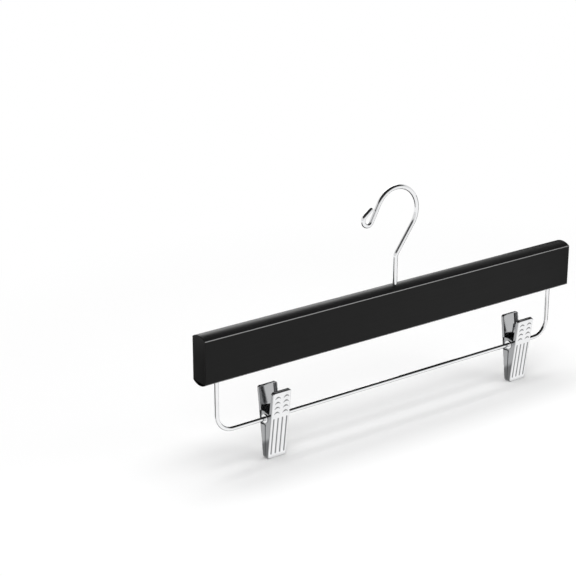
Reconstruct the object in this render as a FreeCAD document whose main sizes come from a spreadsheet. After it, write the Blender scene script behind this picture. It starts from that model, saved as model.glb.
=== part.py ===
import FreeCAD, Part
import math
import os

import Sketcher

# Skirt hanger: a lacquered wooden bar with a swivelling wire hook above it and a
# wire rail below it, on which two sprung metal clips slide.
# Frame: origin under the crown of the hook, where a clothes rail carries it,
# +X along the bar, +Y to the rear, +Z up. Lengths in millimetres, angles in degrees.

SIZES = {
    # Wooden bar
    "bar_length": 355.0,
    "bar_thickness": 16.0,
    "bar_flat_height": 32.6,
    "bar_dome_rise": 2.5,
    "bar_edge_round": 0.5,
    "bar_counterbore_depth": 12.0,
    "bar_counterbore_clearance": 0.4,
    # Hook, measured upwards from the crest of the bar
    "hook_wire_dia": 3.5,
    "hook_height": 78.0,
    "hook_bow_radius": 19.5,
    "hook_crank_drop": 35.25,
    "hook_bend_radius": 6.0,
    "hook_run_length": 14.0,
    "hook_run_angle": 242.0,
    "hook_curl_radius": 4.2,
    "hook_return_length": 8.4,
    "hook_return_angle": 37.0,
    "hook_tip_round": 1.2,
    "hook_head_dia": 6.8,
    "hook_head_height": 2.4,
    "hook_head_round": 0.6,
    "hook_hole_clearance": 0.1,
    # Washer between the hook's head and the wood
    "washer_dia": 8.6,
    "washer_thickness": 1.0,
    "washer_hole_clearance": 0.1,
    # Wire rail under the bar
    "rail_wire_dia": 3.3,
    "rail_end_margin": 14.3,
    "rail_drop": 40.3,
    "rail_bend_radius": 13.5,
    "rail_socket_depth": 16.0,
    "rail_socket_clearance": 0.05,
    # Places of the two clips along the rail, measured inwards from its legs
    "left_clip_inset": 50.6,
    "right_clip_inset": 32.9,
    # Stamped jaws of a clip, measured from the pivot
    "jaw_width": 16.5,
    "jaw_sheet": 0.8,
    "jaw_offset": 7.5,
    "jaw_finger_length": 23.8,
    "jaw_grip_length": 31.3,
    "jaw_finger_flange": 3.0,
    "jaw_tip_flange": 3.2,
    "jaw_root_flange": 6.2,
    "jaw_tip_gap": 0.3,
    "jaw_ear_radius": 4.8,
    "jaw_ear_clearance": 0.15,
    "jaw_ear_relief": 0.5,
    "jaw_notch_height": 2.2,
    "jaw_corner_round": 1.8,
    "jaw_edge_round": 1.0,
    # Long grooves pressed into the grip, and arched dashes that stand out of the finger pad
    "groove_width": 1.0,
    "groove_pitch": 3.86,
    "groove_depth": 0.35,
    "groove_top": 2.3,
    "groove_tip_margin": 3.8,
    "dash_width": 5.0,
    "dash_rise": 1.5,
    "dash_middle": 0.75,
    "dash_column": 3.8,
    "dash_top_margin": 5.2,
    "dash_pitch": 4.15,
    "dash_height": 0.35,
    # Hollow rivet that carries a clip on the rail
    "sleeve_dia": 5.2,
    "sleeve_bore_clearance": 0.1,
    "sleeve_ear_clearance": 0.08,
    "sleeve_flare_dia": 6.8,
    "sleeve_flare": 0.6,
    "sleeve_flare_round": 0.24,
    # Torsion spring round the rivet
    "spring_wire_dia": 1.2,
    "spring_coil_clearance": 0.4,
    "spring_pitch": 1.75,
    "spring_leg_length": 14.0,
    "spring_seat_clearance": 0.2,
    # Vinyl pad inside the tip of each jaw
    "pad_height": 10.0,
    "pad_side_clearance": 0.2,
    "pad_proud": 0.1,
    "pad_corner_round": 0.8,
}

GROOVES = 4
DASH_ROWS = 4
SPRING_LOOPS = 6

# Two lengths closer than this are the same, and a cut takes away at least this volume
SAME_LENGTH = 1e-3
LEAST_CUT = 1e-6
# Points on each quarter turn of the coil at which its gap to itself is measured
COIL_SAMPLES = 12

# Levels and lengths that follow from the sizes, as expressions on the sheet
BAR_TOP = "-(sizes.hook_height - sizes.hook_wire_dia)"
BAR_DEPTH = "(sizes.bar_flat_height + 2*sizes.bar_dome_rise)"
BAR_BOTTOM = f"({BAR_TOP} - {BAR_DEPTH})"
DOME_RADIUS = "((sizes.bar_thickness^2/4 + sizes.bar_dome_rise^2)/(2*sizes.bar_dome_rise))"
SHOULDER = f"({BAR_BOTTOM} + sizes.bar_counterbore_depth)"
STEM_INSIDE = f"({BAR_DEPTH} - sizes.bar_counterbore_depth + sizes.washer_thickness)"
RAIL_LEVEL = f"({BAR_BOTTOM} - sizes.rail_drop)"
LEG_PLACE = "(sizes.bar_length/2 - sizes.rail_end_margin)"
CLIP_PLACE = {
    "left": f"(sizes.left_clip_inset - {LEG_PLACE})",
    "right": f"({LEG_PLACE} - sizes.right_clip_inset)",
}
JAW_LEAN = (
    "(atan2(sizes.jaw_offset - sizes.jaw_tip_flange; sizes.jaw_grip_length)"
    " - asin(sizes.jaw_tip_gap/2/sqrt((sizes.jaw_offset - sizes.jaw_tip_flange)^2"
    " + sizes.jaw_grip_length^2)))"
)
EAR_INSET = "(sizes.jaw_width/2 - sizes.jaw_sheet - sizes.jaw_ear_clearance)"

doc = FreeCAD.newDocument("skirt_hanger")
sheet = doc.addObject("Spreadsheet::Sheet", "sizes")
for row, (alias, number) in enumerate(SIZES.items(), start=1):
    sheet.set(f"A{row}", alias)
    sheet.set(f"B{row}", str(number))
    sheet.setAlias(f"B{row}", alias)
doc.recompute()


def value(expression):
    """Number that an expression on the sheet gives, in millimetres or degrees."""
    result = sheet.evalExpression(expression)
    return float(getattr(result, "Value", result))


def new_body(label):
    """Body whose label names its file."""
    body = doc.addObject("PartDesign::Body", label)
    body.Label = label
    return body


def place(body, x="0", z="0"):
    """Ties the place of a body to the sheet."""
    body.setExpression("Placement.Base.x", x)
    body.setExpression("Placement.Base.z", z)


def new_sketch(body, name, role, level=None):
    """Sketch on one of the body's own planes, raised along the plane's normal by level."""
    sketch = body.newObject("Sketcher::SketchObject", name)
    plane = next(item for item in body.Origin.OriginFeatures if item.Role == role)
    sketch.AttachmentSupport = (plane, [""])
    sketch.MapMode = "FlatFace"
    if level:
        sketch.setExpression("AttachmentOffset.Base.z", level)
    return sketch


def hold(sketch, kind, expression, *references):
    """Adds a dimension to a sketch and binds it to the sheet."""
    amount = value(expression)
    if kind == "Angle":
        amount = math.radians(amount)
        expression = f"({expression}) * 1 deg"
    index = sketch.addConstraint(Sketcher.Constraint(kind, *references, amount))
    sketch.setExpression(f"Constraints[{index}]", expression)


def hold_point(sketch, edge, end, x, y):
    """Ties one end of an edge to a place measured from the sketch's origin."""
    hold(sketch, "DistanceX", x, -1, 1, edge, end)
    hold(sketch, "DistanceY", y, -1, 1, edge, end)


def add_line(sketch, start, end):
    """Straight edge between two pairs of numbers."""
    return sketch.addGeometry(Part.LineSegment(FreeCAD.Vector(*start), FreeCAD.Vector(*end)), False)


def add_arc(sketch, centre, radius, first, last):
    """Arc that runs counter-clockwise from the first angle to the last, in degrees."""
    ring = Part.Circle(FreeCAD.Vector(*centre), FreeCAD.Vector(0, 0, 1), radius)
    arc = Part.ArcOfCircle(ring, math.radians(first), math.radians(last))
    return sketch.addGeometry(arc, False)


def add_circle(sketch, x, y, radius):
    """Full circle whose centre and radius are expressions."""
    ring = Part.Circle(FreeCAD.Vector(value(x), value(y)), FreeCAD.Vector(0, 0, 1), value(radius))
    edge = sketch.addGeometry(ring, False)
    hold_point(sketch, edge, 3, x, y)
    hold(sketch, "Radius", radius, edge)


def add_polygon(sketch, corners):
    """Closed outline of straight edges through corners given as pairs of expressions."""
    points = [(value(x), value(y)) for x, y in corners]
    edges = [add_line(sketch, a, b) for a, b in zip(points, points[1:] + points[:1])]
    for edge, following in zip(edges, edges[1:] + edges[:1]):
        sketch.addConstraint(Sketcher.Constraint("Coincident", edge, 2, following, 1))
    for edge, (x, y) in zip(edges, corners):
        hold_point(sketch, edge, 1, x, y)
    return edges


def extrude(body, kind, name, sketch, length, reverse=False, both_ways=False):
    """Pad or pocket of a sketch by a length from the sheet."""
    feature = body.newObject(f"PartDesign::{kind}", name)
    feature.Profile = sketch
    feature.setExpression("Length", length)
    feature.Reversed = reverse
    feature.Midplane = both_ways
    return feature


def cut(body, name, sketch, length, reverse=False, both_ways=False):
    """Pocket that has to take material away."""
    doc.recompute()
    before = body.Shape.Volume
    feature = extrude(body, "Pocket", name, sketch, length, reverse, both_ways)
    doc.recompute()
    if body.Shape.Volume > before - LEAST_CUT:
        raise RuntimeError(f"{body.Label}: {name} cuts nothing")
    return feature


def pipe(body, name, spine, profile):
    """Round wire swept along a sketch of lines and tangent arcs."""
    feature = body.newObject("PartDesign::AdditivePipe", name)
    feature.Profile = profile
    feature.Spine = (spine, [f"Edge{number}" for number in range(1, spine.GeometryCount + 1)])
    doc.recompute()
    return feature


def round_edges(body, name, base, radius, choose):
    """Fillet of the edges of a feature that a test picks out."""
    doc.recompute()
    picked = [f"Edge{number}" for number, edge in enumerate(base.Shape.Edges, 1) if choose(edge)]
    feature = body.newObject("PartDesign::Fillet", name)
    feature.Base = (base, picked)
    feature.setExpression("Radius", radius)
    doc.recompute()
    return feature


def near(first, second):
    """True where two numbers are the same length."""
    return abs(first - second) < SAME_LENGTH


def heading(degrees):
    """Unit vector at an angle from the first axis of a sketch."""
    turn = math.radians(degrees)
    return FreeCAD.Vector(math.cos(turn), math.sin(turn))


def make_bar():
    """Wooden bar with domed top and underside, drilled for the hook and for the rail."""
    body = new_body("wooden_bar")
    place(body, z=BAR_TOP)
    section = new_sketch(body, "bar_section", "YZ_Plane")
    half = value("sizes.bar_thickness/2")
    rise = value("sizes.bar_dome_rise")
    depth = value(BAR_DEPTH)
    radius = value(DOME_RADIUS)
    sweep = math.degrees(math.asin(half/radius))
    top = add_arc(section, (0, -radius), radius, 90 - sweep, 90 + sweep)
    rear = add_line(section, (half, rise - depth), (half, -rise))
    bottom = add_arc(section, (0, radius - depth), radius, 270 - sweep, 270 + sweep)
    front = add_line(section, (-half, -rise), (-half, rise - depth))
    joints = ((rear, 2, top, 1), (top, 2, front, 1), (front, 2, bottom, 1), (bottom, 2, rear, 1))
    for joint in joints:
        section.addConstraint(Sketcher.Constraint("Coincident", *joint))
    hold_point(section, rear, 1, "sizes.bar_thickness/2", f"sizes.bar_dome_rise - {BAR_DEPTH}")
    hold_point(section, rear, 2, "sizes.bar_thickness/2", "-sizes.bar_dome_rise")
    hold_point(section, front, 1, "-sizes.bar_thickness/2", "-sizes.bar_dome_rise")
    hold_point(section, front, 2, "-sizes.bar_thickness/2", f"sizes.bar_dome_rise - {BAR_DEPTH}")
    hold(section, "Radius", DOME_RADIUS, top)
    hold(section, "Radius", DOME_RADIUS, bottom)
    blank = extrude(body, "Pad", "bar_blank", section, "sizes.bar_length", both_ways=True)
    round_edges(body, "bar_edges", blank, "sizes.bar_edge_round", lambda edge: True)

    hole = new_sketch(body, "hook_hole", "XY_Plane")
    add_circle(hole, "0", "0", "sizes.hook_wire_dia/2 + sizes.hook_hole_clearance")
    cut(body, "hook_drilling", hole, BAR_DEPTH)
    recess = new_sketch(body, "head_recess", "XY_Plane", f"-{BAR_DEPTH}")
    add_circle(recess, "0", "0", "sizes.washer_dia/2 + sizes.bar_counterbore_clearance")
    cut(body, "head_counterbore", recess, "sizes.bar_counterbore_depth", reverse=True)
    sockets = new_sketch(body, "rail_sockets", "XY_Plane", f"-{BAR_DEPTH}")
    for side in ("-", ""):
        add_circle(
            sockets,
            f"{side}{LEG_PLACE}",
            "0",
            "sizes.rail_wire_dia/2 + sizes.rail_socket_clearance",
        )
    cut(body, "rail_drilling", sockets, "sizes.rail_socket_depth", reverse=True)
    return body


def make_hook():
    """Hook bent from one wire: headed stem, crank, bow and a curled-back tip."""
    body = new_body("hook")
    place(body, z=f"{SHOULDER} - sizes.washer_thickness")
    bow_height = f"{STEM_INSIDE} + sizes.hook_height - sizes.hook_wire_dia/2 - sizes.hook_bow_radius"
    bend_level = f"{bow_height} - sizes.hook_crank_drop"
    bend = value("sizes.hook_bend_radius")
    bow = value("sizes.hook_bow_radius")
    curl = value("sizes.hook_curl_radius")
    run_angle = value("sizes.hook_run_angle")
    return_angle = value("sizes.hook_return_angle")

    # The crank is the straight line that touches both the bend and the bow
    bend_centre = FreeCAD.Vector(bend, value(bend_level))
    bow_centre = FreeCAD.Vector(0, value(bow_height))
    between = bow_centre - bend_centre
    lean = math.degrees(math.atan2(between.y, between.x) - math.asin((bend + bow)/between.Length))
    crank_start = bend_centre + heading(lean + 90)*bend
    crank_end = bow_centre - heading(lean + 90)*bow
    run_start = bow_centre - heading(run_angle + 90)*bow
    run_end = run_start + heading(run_angle)*value("sizes.hook_run_length")
    curl_centre = run_end - heading(run_angle + 90)*curl
    return_start = curl_centre + heading(return_angle + 90)*curl
    return_end = return_start + heading(return_angle)*value("sizes.hook_return_length")

    path = new_sketch(body, "hook_path", "XZ_Plane")
    edges = [
        add_line(path, (0, 0), (0, value(bend_level))),
        add_arc(path, bend_centre, bend, lean + 90, 180),
        add_line(path, crank_start, crank_end),
        add_arc(path, bow_centre, bow, lean - 90, run_angle - 90),
        add_line(path, run_start, run_end),
        add_arc(path, curl_centre, curl, return_angle + 90, run_angle + 90),
        add_line(path, return_start, return_end),
    ]
    stem, bend_arc, crank, bow_arc, run, curl_arc, back = edges
    meetings = (
        (stem, 2, bend_arc, 2),
        (bend_arc, 1, crank, 1),
        (crank, 2, bow_arc, 1),
        (bow_arc, 2, run, 1),
        (run, 2, curl_arc, 2),
        (curl_arc, 1, back, 1),
    )
    for meeting in meetings:
        path.addConstraint(Sketcher.Constraint("Tangent", *meeting))
    path.addConstraint(Sketcher.Constraint("Coincident", stem, 1, -1, 1))
    path.addConstraint(Sketcher.Constraint("Vertical", stem))
    path.addConstraint(Sketcher.Constraint("PointOnObject", bow_arc, 3, -2))
    hold(path, "DistanceY", bend_level, -1, 1, stem, 2)
    hold(path, "Radius", "sizes.hook_bend_radius", bend_arc)
    hold(path, "DistanceY", bow_height, -1, 1, bow_arc, 3)
    hold(path, "Radius", "sizes.hook_bow_radius", bow_arc)
    hold(path, "Distance", "sizes.hook_run_length", run)
    hold(path, "Angle", "sizes.hook_run_angle", run)
    hold(path, "Radius", "sizes.hook_curl_radius", curl_arc)
    hold(path, "Distance", "sizes.hook_return_length", back)
    hold(path, "Angle", "sizes.hook_return_angle", back)
    section = new_sketch(body, "hook_section", "XY_Plane")
    add_circle(section, "0", "0", "sizes.hook_wire_dia/2")
    wire = pipe(body, "hook_wire", path, section)

    tip = FreeCAD.Vector(return_end.x, 0, return_end.y)
    tip_rim = value("sizes.hook_wire_dia/2")

    def at_tip(edge):
        if not isinstance(edge.Curve, Part.Circle):
            return False
        return near(edge.Curve.Radius, tip_rim) and near(edge.Curve.Center.distanceToPoint(tip), 0)

    round_edges(body, "hook_tip", wire, "sizes.hook_tip_round", at_tip)
    disc = new_sketch(body, "head_disc", "XY_Plane")
    add_circle(disc, "0", "0", "sizes.hook_head_dia/2")
    head = extrude(body, "Pad", "hook_head", disc, "sizes.hook_head_height", reverse=True)
    foot = -value("sizes.hook_head_height")

    def at_foot(edge):
        return near(edge.BoundBox.ZMax, foot)

    round_edges(body, "head_rim", head, "sizes.hook_head_round", at_foot)
    return body


def make_washer():
    """Flat washer that spreads the load of the head on the wood."""
    body = new_body("hook_washer")
    place(body, z=f"{SHOULDER} - sizes.washer_thickness")
    ring = new_sketch(body, "washer_ring", "XY_Plane")
    add_circle(ring, "0", "0", "sizes.washer_dia/2")
    add_circle(ring, "0", "0", "sizes.hook_wire_dia/2 + sizes.washer_hole_clearance")
    extrude(body, "Pad", "washer_disc", ring, "sizes.washer_thickness")
    return body


def make_rail():
    """Wire rail: a wide U whose two legs stand in sockets in the bar."""
    body = new_body("wire_rail")
    place(body, z=RAIL_LEVEL)
    top = "sizes.rail_drop + sizes.rail_socket_depth"
    end = value(LEG_PLACE)
    bend = value("sizes.rail_bend_radius")
    height = value(top)
    path = new_sketch(body, "rail_path", "XZ_Plane")
    left = add_line(path, (-end, height), (-end, bend))
    left_bend = add_arc(path, (bend - end, bend), bend, 180, 270)
    run = add_line(path, (bend - end, 0), (end - bend, 0))
    right_bend = add_arc(path, (end - bend, bend), bend, 270, 360)
    right = add_line(path, (end, bend), (end, height))
    chain = [left, left_bend, run, right_bend, right]
    for edge, following in zip(chain, chain[1:]):
        path.addConstraint(Sketcher.Constraint("Tangent", edge, 2, following, 1))
    path.addConstraint(Sketcher.Constraint("PointOnObject", run, 1, -1))
    path.addConstraint(Sketcher.Constraint("Horizontal", run))
    for leg in (left, right):
        path.addConstraint(Sketcher.Constraint("Vertical", leg))
    hold_point(path, left, 1, f"-{LEG_PLACE}", top)
    hold_point(path, right, 2, LEG_PLACE, top)
    hold(path, "Radius", "sizes.rail_bend_radius", left_bend)
    hold(path, "Radius", "sizes.rail_bend_radius", right_bend)
    section = new_sketch(body, "rail_section", "XY_Plane", top)
    add_circle(section, f"-{LEG_PLACE}", "0", "sizes.rail_wire_dia/2")
    pipe(body, "rail_wire", path, section)
    return body


def make_sleeve(clip):
    """Hollow rivet: a tube that runs on the rail, flared over the ears at both ends."""
    body = new_body(f"{clip}_pivot_sleeve")
    place(body, CLIP_PLACE[clip], RAIL_LEVEL)
    inner = "sizes.rail_wire_dia/2 + sizes.sleeve_bore_clearance"
    outer = "sizes.sleeve_dia/2"
    flare = "sizes.sleeve_flare_dia/2"
    shoulder = "(sizes.jaw_width/2 + sizes.jaw_ear_clearance)"
    end = f"({shoulder} + sizes.sleeve_flare)"
    outline = new_sketch(body, "sleeve_outline", "XZ_Plane")
    corners = [
        (f"-{end}", inner),
        (end, inner),
        (end, flare),
        (shoulder, flare),
        (shoulder, outer),
        (f"-{shoulder}", outer),
        (f"-{shoulder}", flare),
        (f"-{end}", flare),
    ]
    add_polygon(outline, corners)
    tube = body.newObject("PartDesign::Revolution", "sleeve_tube")
    tube.Profile = outline
    tube.ReferenceAxis = (outline, ["H_Axis"])
    tube.Angle = 360
    doc.recompute()
    rim = value(flare)

    def at_rim(edge):
        return isinstance(edge.Curve, Part.Circle) and near(edge.Curve.Radius, rim)

    round_edges(body, "flare_edges", tube, "sizes.sleeve_flare_round", at_rim)
    return body


def jaw_outline(sketch):
    """Side view of a jaw: tapered grip flange, round ear at the pivot and shallow finger flange."""
    ear = "sizes.jaw_ear_radius"
    face = "-sizes.jaw_offset"
    finger_edge = "(sizes.jaw_finger_flange - sizes.jaw_offset)"
    tip_edge = "(sizes.jaw_tip_flange - sizes.jaw_offset)"
    root_edge = "(sizes.jaw_root_flange - sizes.jaw_offset)"
    notch = f"(-{ear} - sizes.jaw_notch_height)"
    corners = [
        ("0", ear),
        (finger_edge, ear),
        (finger_edge, "sizes.jaw_finger_length"),
        (face, "sizes.jaw_finger_length"),
        (face, "-sizes.jaw_grip_length"),
        (tip_edge, "-sizes.jaw_grip_length"),
        (root_edge, notch),
        (root_edge, f"-{ear}"),
        ("0", f"-{ear}"),
    ]
    points = [(value(x), value(y)) for x, y in corners]
    edges = [add_line(sketch, a, b) for a, b in zip(points, points[1:])]
    for edge, following in zip(edges, edges[1:]):
        sketch.addConstraint(Sketcher.Constraint("Coincident", edge, 2, following, 1))
    for edge, (x, y) in zip(edges, corners):
        hold_point(sketch, edge, 1, x, y)
    hold_point(sketch, edges[-1], 2, *corners[-1])
    lobe = add_arc(sketch, (0, 0), value(ear), -90, 90)
    sketch.addConstraint(Sketcher.Constraint("Coincident", edges[-1], 2, lobe, 1))
    sketch.addConstraint(Sketcher.Constraint("Coincident", lobe, 2, edges[0], 1))
    sketch.addConstraint(Sketcher.Constraint("PointOnObject", lobe, 3, -2))


def add_slot(sketch, x, low, high, width):
    """Upright slot with round ends."""
    left = value(f"{x} - {width}/2")
    right = value(f"{x} + {width}/2")
    floor = value(low)
    ceiling = value(high)
    edges = [
        add_line(sketch, (right, floor), (right, ceiling)),
        add_arc(sketch, (value(x), ceiling), value(width)/2, 0, 180),
        add_line(sketch, (left, ceiling), (left, floor)),
        add_arc(sketch, (value(x), floor), value(width)/2, 180, 360),
    ]
    for edge, following in zip(edges, edges[1:] + edges[:1]):
        sketch.addConstraint(Sketcher.Constraint("Tangent", edge, 2, following, 1))
    hold_point(sketch, edges[1], 3, x, high)
    hold(sketch, "DistanceY", low, -1, 1, edges[3], 3)
    hold(sketch, "Radius", f"{width}/2", edges[1])
    sketch.addConstraint(Sketcher.Constraint("Vertical", edges[0]))


def add_dash(sketch, x, level):
    """Arched dash, thickest in its middle, between two arcs that meet at its ends."""
    centre = value(x)
    base = value(level)
    half = value("sizes.dash_width/2")
    arcs = []
    for rise in ("sizes.dash_rise", "(sizes.dash_rise - sizes.dash_middle)"):
        height = value(rise)
        radius = f"((sizes.dash_width^2/4 + {rise}^2)/(2*{rise}))"
        reach = value(radius)
        sweep = math.degrees(math.asin(half/reach))
        arc = add_arc(sketch, (centre, base + height - reach), reach, 90 - sweep, 90 + sweep)
        hold(sketch, "Radius", radius, arc)
        arcs.append(arc)
    upper, lower = arcs
    for end in (1, 2):
        sketch.addConstraint(Sketcher.Constraint("Coincident", upper, end, lower, end))
    hold_point(sketch, upper, 1, f"{x} + sizes.dash_width/2", level)
    hold_point(sketch, upper, 2, f"{x} - sizes.dash_width/2", level)


def make_jaw(clip, face, turn):
    """Jaw stamped from sheet steel: a shallow tray with one outer ear and one inset ear.

    Both jaws of a clip are the same stamping, the rear one turned round by half a turn,
    so that each outer ear lies over the inset ear of the other jaw.
    """
    body = new_body(f"{clip}_{face}_jaw")
    place(body, CLIP_PLACE[clip], RAIL_LEVEL)
    body.Placement = FreeCAD.Placement(body.Placement.Base, FreeCAD.Rotation(turn, 0, value(JAW_LEAN)))
    sheet_face = "(sizes.jaw_offset - sizes.jaw_sheet)"
    side = new_sketch(body, "jaw_side", "YZ_Plane")
    jaw_outline(side)
    blank = extrude(body, "Pad", "jaw_blank", side, "sizes.jaw_width", both_ways=True)

    front = -value("sizes.jaw_offset")
    flank = value("sizes.jaw_width/2")
    ends = (value("sizes.jaw_finger_length"), -value("sizes.jaw_grip_length"))

    def outer_corner(edge):
        box = edge.BoundBox
        at_flank = near(abs(box.XMin), flank) and near(box.XMin, box.XMax)
        at_end = near(box.ZMin, box.ZMax) and any(near(box.ZMin, end) for end in ends)
        return at_flank and at_end

    def outer_edge(edge):
        box = edge.BoundBox
        return near(box.YMin, front) and near(box.YMax, front)

    corners = round_edges(body, "jaw_corners", blank, "sizes.jaw_corner_round", outer_corner)
    round_edges(body, "jaw_edges", corners, "sizes.jaw_edge_round", outer_edge)

    # Inside of the tray, open to the rear
    tray = new_sketch(body, "jaw_tray", "XZ_Plane", sheet_face)
    wall = "(sizes.jaw_width/2 - sizes.jaw_sheet)"
    floor = "(sizes.jaw_sheet - sizes.jaw_grip_length)"
    ceiling = "(sizes.jaw_finger_length - sizes.jaw_sheet)"
    add_polygon(tray, [(f"-{wall}", floor), (wall, floor), (wall, ceiling), (f"-{wall}", ceiling)])
    cut(body, "tray_hollow", tray, "2*sizes.jaw_offset + sizes.jaw_ear_radius")

    # The inset ear stands in a gap in the right-hand wall
    gap = new_sketch(body, "ear_gap", "YZ_Plane", wall)
    gap_height = "(sizes.jaw_ear_radius + sizes.jaw_ear_relief)"
    gap_floor = "(sizes.jaw_edge_round - sizes.jaw_offset)"
    gap_end = "(sizes.jaw_ear_radius + sizes.jaw_sheet)"
    gap_corners = [
        (gap_floor, f"-{gap_height}"),
        (gap_end, f"-{gap_height}"),
        (gap_end, gap_height),
        (gap_floor, gap_height),
    ]
    add_polygon(gap, gap_corners)
    cut(body, "ear_clearing", gap, "sizes.jaw_sheet", reverse=True)
    ear = new_sketch(body, "inset_ear", "YZ_Plane", EAR_INSET)
    radius = value("sizes.jaw_ear_radius")
    root = "(sizes.jaw_sheet/2 - sizes.jaw_offset)"
    start = value(root)
    lower = add_line(ear, (start, -radius), (0, -radius))
    lobe = add_arc(ear, (0, 0), radius, -90, 90)
    upper = add_line(ear, (0, radius), (start, radius))
    foot = add_line(ear, (start, radius), (start, -radius))
    ring = [lower, lobe, upper, foot]
    for edge, following in zip(ring, ring[1:] + ring[:1]):
        ear.addConstraint(Sketcher.Constraint("Coincident", edge, 2, following, 1))
    hold_point(ear, lower, 1, root, "-sizes.jaw_ear_radius")
    hold_point(ear, lobe, 1, "0", "-sizes.jaw_ear_radius")
    hold_point(ear, lobe, 2, "0", "sizes.jaw_ear_radius")
    hold_point(ear, foot, 1, root, "sizes.jaw_ear_radius")
    ear.addConstraint(Sketcher.Constraint("PointOnObject", lobe, 3, -2))
    extrude(body, "Pad", "ear_plate", ear, "sizes.jaw_sheet", reverse=True)
    eye = new_sketch(body, "pivot_eye", "YZ_Plane")
    add_circle(eye, "0", "0", "sizes.sleeve_dia/2 + sizes.sleeve_ear_clearance")
    cut(body, "pivot_holes", eye, "2*sizes.jaw_width", both_ways=True)

    # Pressed pattern of the outer face
    grooves = new_sketch(body, "grip_grooves", "XZ_Plane", "sizes.jaw_offset")
    for number in range(GROOVES):
        add_slot(
            grooves,
            f"{number - (GROOVES - 1)/2}*sizes.groove_pitch",
            "(sizes.groove_tip_margin + sizes.groove_width/2 - sizes.jaw_grip_length)",
            "(sizes.groove_top - sizes.groove_width/2)",
            "sizes.groove_width",
        )
    cut(body, "groove_pressing", grooves, "sizes.groove_depth")
    dashes = new_sketch(body, "finger_dashes", "XZ_Plane", "sizes.jaw_offset")
    for sign in ("-", ""):
        for number in range(DASH_ROWS):
            level = f"(sizes.jaw_finger_length - sizes.dash_top_margin - {number}*sizes.dash_pitch)"
            add_dash(dashes, f"{sign}sizes.dash_column", level)
    extrude(body, "Pad", "dash_pressing", dashes, "sizes.dash_height")
    return body


def make_pad(clip, face, turn):
    """Vinyl pad in the tip of a jaw's tray, wedge-shaped so that two closed pads lie face to face."""
    body = new_body(f"{clip}_{face}_pad")
    place(body, CLIP_PLACE[clip], RAIL_LEVEL)
    body.Placement = FreeCAD.Placement(body.Placement.Base, FreeCAD.Rotation(turn, 0, value(JAW_LEAN)))
    back = "(sizes.jaw_sheet - sizes.jaw_offset)"
    low = "(sizes.jaw_sheet - sizes.jaw_grip_length)"
    high = f"({low} + sizes.pad_height)"
    flare = "(sizes.jaw_root_flange - sizes.jaw_tip_flange)"
    reach = "(sizes.jaw_grip_length - sizes.jaw_ear_radius - sizes.jaw_notch_height)"
    corners = [(back, low)]
    tip_edge = "(sizes.jaw_tip_flange - sizes.jaw_offset)"
    for level in (low, high):
        rim = f"({tip_edge} + {flare}*({level} + sizes.jaw_grip_length)/{reach})"
        corners.append((f"({rim} + sizes.pad_proud)", level))
    corners.append((back, high))
    outline = new_sketch(body, "pad_side", "YZ_Plane")
    add_polygon(outline, corners)
    width = "sizes.jaw_width - 2*sizes.jaw_sheet - 2*sizes.pad_side_clearance"
    block = extrude(body, "Pad", "pad_block", outline, width, both_ways=True)
    crest = value(high)

    def upper_corner(edge):
        box = edge.BoundBox
        return near(box.XMin, box.XMax) and near(box.ZMin, crest) and near(box.ZMax, crest)

    round_edges(body, "pad_corners", block, "sizes.pad_corner_round", upper_corner)
    return body


def arc_through(start, tangent, end):
    """Arc from a point, leaving it along a tangent, to another point."""
    chord = end - start
    along = chord*(1/chord.Length)
    across = tangent - along*tangent.dot(along)
    across.normalize()
    angle = tangent.getAngle(chord)
    middle = start + chord*0.5 + across*(chord.Length/2*math.tan(angle/2))
    return Part.Arc(start, middle, end).toShape()


def biarc(start, start_tangent, end, end_tangent):
    """Two arcs that join two points with given tangents, and the point where they meet."""
    chord = end - start
    total = start_tangent + end_tangent
    bend = 2*(1 - start_tangent.dot(end_tangent))
    reach = (math.sqrt(chord.dot(total)**2 + bend*chord.dot(chord)) - chord.dot(total))/bend
    middle = (start + end + (start_tangent - end_tangent)*reach)*0.5
    second = arc_through(end, end_tangent*-1, middle)
    return arc_through(start, start_tangent, middle), second.reversed()


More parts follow.
